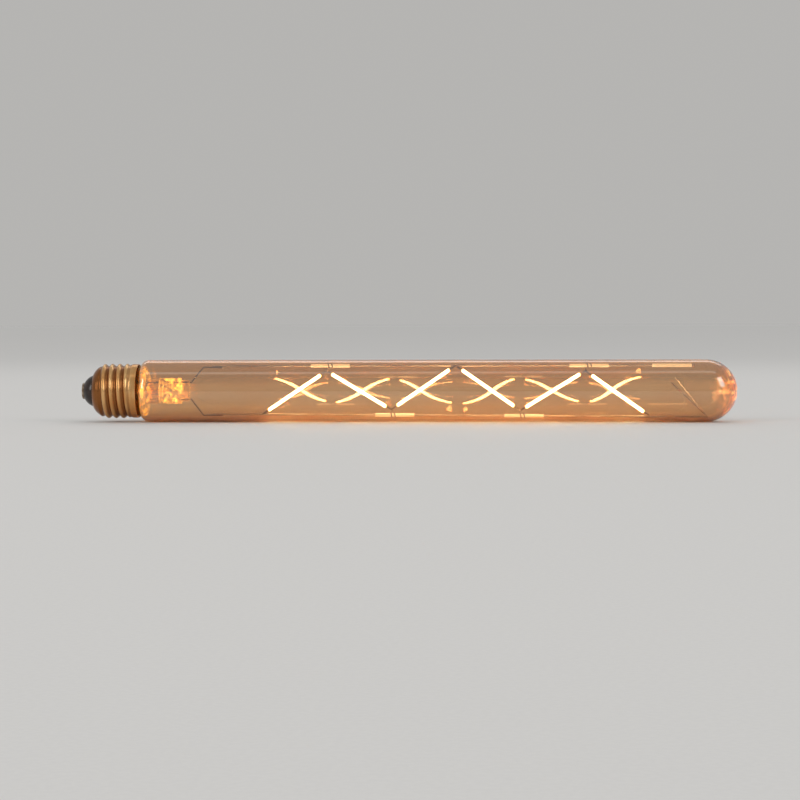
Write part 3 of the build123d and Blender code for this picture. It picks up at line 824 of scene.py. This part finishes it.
class LAMP_OT_welds(bpy.types.Operator):
    """Set a bead of weld metal at the leads' ends, the hooks' feet and the bends on the rails"""

    bl_idname = "lamp.welds"
    bl_label = "Welds"

    def execute(self, context):
        settings = context.scene.lamp_weld
        form = bmesh.new()
        for place in self.places(settings):
            self.add_bead(form, place, settings)
        beads = finish_mesh("weld_beads", form, smooth_under=60)
        metal = surface(
            "Weld metal",
            base=settings.bead,
            patch=settings.bead_dull,
            grain=even(700),
            smooth=0.2,
            rough=0.35,
            gloss_grain=even(900),
            metallic=1,
        )
        beads.data.materials.append(metal)
        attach(beads, BODY)
        return {"FINISHED"}

    def places(self, settings):
        """List the middles of the beads, from the boxes of the wires that they weld."""
        places = []
        for side, corner, inward in (("lower", 0, 1), ("upper", 1, -1)):
            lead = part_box(f"lead_wire_{side}")
            places.append((lead[1].x, lead[corner].z + inward * settings.lead_inset))
        for low, high in map(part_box, nodes_named("hook_wire")):
            foot = low.z + settings.foot_rise if low.z > 0 else high.z - settings.foot_rise
            places.append((low.x + settings.foot_inset, foot))
        tabs = [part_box(name) for name in tab_nodes()]
        before, after = tabs[len(tabs) // 2 - 1], tabs[len(tabs) // 2]
        places.append((tabs[0][0].x + settings.bend_inset, tabs[0][0].z + settings.bend_rise))
        places.append(((before[1].x + after[0].x) / 2, after[1].z - settings.bend_rise))
        places.append((tabs[-1][1].x - settings.bend_inset, tabs[-1][0].z + settings.bend_rise))
        return [Vector((x, 0, z)) for x, z in places]

    def add_bead(self, form, place, settings):
        """Add a small uneven bead to a mesh."""
        made = bmesh.ops.create_icosphere(
            form, subdivisions=3, radius=settings.radius, matrix=Matrix.Translation(place)
        )
        for vertex in made["verts"]:
            bulge = settings.lumpiness * noise.noise(vertex.co / settings.radius)
            vertex.co += (vertex.co - place) * bulge


class LAMP_OT_stage(bpy.types.Operator):
    """Set the lamp on a plain floor, with soft light and a camera"""

    bl_idname = "lamp.stage"
    bl_label = "Stage"

    def execute(self, context):
        scene = context.scene
        settings = scene.lamp_stage
        scene.view_settings.view_transform = "Standard"
        self.lay_floor(scene, settings)
        self.light_all_round(scene, settings)
        self.hang_lamps(scene)
        self.place_camera(scene, settings)
        return {"FINISHED"}

    def lay_floor(self, scene, settings):
        """Lay a wide round floor under the tube."""
        mesh = bpy.data.meshes.new("floor")
        sheet = bmesh.new()
        bmesh.ops.create_circle(sheet, cap_ends=True, segments=96, radius=settings.floor_radius)
        sheet.to_mesh(mesh)
        sheet.free()
        floor = bpy.data.objects.new("floor", mesh)
        floor.location = (AXIS_END / 2, 0, -TUBE_RADIUS)
        scene.collection.objects.link(floor)
        paint = surface(
            "Floor",
            base=settings.floor,
            patch=[settings.floor_shade * part for part in settings.floor],
            grain=even(900),
            smooth=0.8,
            rough=0.95,
            gloss_grain=even(30),
        )
        mesh.materials.append(paint)

    def light_all_round(self, scene, settings):
        """Fill the room with soft white light, and show the floor's colour as its background."""
        world = bpy.data.worlds.new("Soft room")
        world.use_nodes = True
        tree = world.node_tree
        light = tree.nodes["Background"]
        light.inputs["Color"].default_value = rgba(even(1))
        light.inputs["Strength"].default_value = settings.fill
        seen = node(tree, "ShaderNodeBackground")
        seen.inputs["Color"].default_value = rgba(settings.floor)
        seen.inputs["Strength"].default_value = settings.fill
        path = node(tree, "ShaderNodeLightPath")
        glossy = node(tree, "ShaderNodeMath", operation="MAXIMUM")
        clear = node(tree, "ShaderNodeMath", operation="MAXIMUM")
        mix = node(tree, "ShaderNodeMixShader")
        join(tree, path.outputs["Is Camera Ray"], glossy.inputs[0])
        join(tree, path.outputs["Is Glossy Ray"], glossy.inputs[1])
        join(tree, glossy.outputs[0], clear.inputs[0])
        join(tree, path.outputs["Is Transmission Ray"], clear.inputs[1])
        join(tree, clear.outputs[0], mix.inputs[0])
        join(tree, light.outputs[0], mix.inputs[1])
        join(tree, seen.outputs[0], mix.inputs[2])
        join(tree, mix.outputs[0], tree.nodes["World Output"].inputs["Surface"])
        scene.world = world

    def hang_lamps(self, scene):
        """Hang the soft lamps round the part, each turned to its middle."""
        middle = Vector((AXIS_END / 2, 0, 0))
        for name, place, width, height, power in LIGHTS:
            lamp = bpy.data.lights.new(name, "AREA")
            lamp.shape = "RECTANGLE"
            lamp.size = width
            lamp.size_y = height
            lamp.energy = power
            made = bpy.data.objects.new(name, lamp)
            made.location = middle + Vector(place)
            made.rotation_euler = (-Vector(place)).to_track_quat("-Z", "Y").to_euler()
            made.visible_camera = False
            scene.collection.objects.link(made)

    def place_camera(self, scene, settings):
        """Stand the camera before the lamp and point it."""
        camera = bpy.data.cameras.new("camera")
        camera.sensor_width = SENSOR_WIDTH
        camera.lens = settings.lens / MM
        camera.clip_start = settings.camera_near
        made = bpy.data.objects.new("camera", camera)
        made.location = (settings.camera_foot, -settings.camera_distance, settings.camera_rise)
        aim = Vector((settings.aim, 0, -settings.aim_drop))
        turn = (aim - made.location).to_track_quat("-Z", "Y").to_matrix()
        made.rotation_euler = (turn @ Matrix.Rotation(settings.camera_roll, 3, "Z")).to_euler()
        scene.collection.objects.link(made)
        scene.camera = made


PIECES = (
    LAMP_OT_glass_envelope,
    LAMP_OT_glass_stem,
    LAMP_OT_wires,
    LAMP_OT_sleeves,
    LAMP_OT_filaments,
    LAMP_OT_screw_cap,
    LAMP_OT_driver,
    LAMP_OT_welds,
    LAMP_OT_stage,
)


class LAMP_PT_build(bpy.types.Panel):
    """Lists the pieces of the lamp"""

    bl_label = "Tubular filament lamp"
    bl_idname = "LAMP_PT_build"
    bl_space_type = "VIEW_3D"
    bl_region_type = "UI"
    bl_category = "Lamp"

    def draw(self, context):
        for piece in PIECES:
            self.layout.operator(piece.bl_idname)


SETTINGS = {
    "lamp_glass": LampGlassSettings,
    "lamp_piped": LampPaintedGlowSettings,
    "lamp_metal": LampMetalSettings,
    "lamp_weld": LampWeldSettings,
    "lamp_glow": LampGlowSettings,
    "lamp_insulation": LampInsulationSettings,
    "lamp_stage": LampStageSettings,
}
CLASSES = (*SETTINGS.values(), *PIECES, LAMP_PT_build)


def register():
    """Register the classes and put the settings on the scene."""
    for made in CLASSES:
        bpy.utils.register_class(made)
    for name, group in SETTINGS.items():
        setattr(bpy.types.Scene, name, bpy.props.PointerProperty(type=group))


def unregister():
    """Take the settings off the scene and the classes out."""
    for name in SETTINGS:
        delattr(bpy.types.Scene, name)
    for made in reversed(CLASSES):
        bpy.utils.unregister_class(made)


def main():
    """Build every piece in order."""
    register()
    for piece in PIECES:
        group, name = piece.bl_idname.split(".")
        getattr(getattr(bpy.ops, group), name)()


if __name__ == "__main__":
    main()
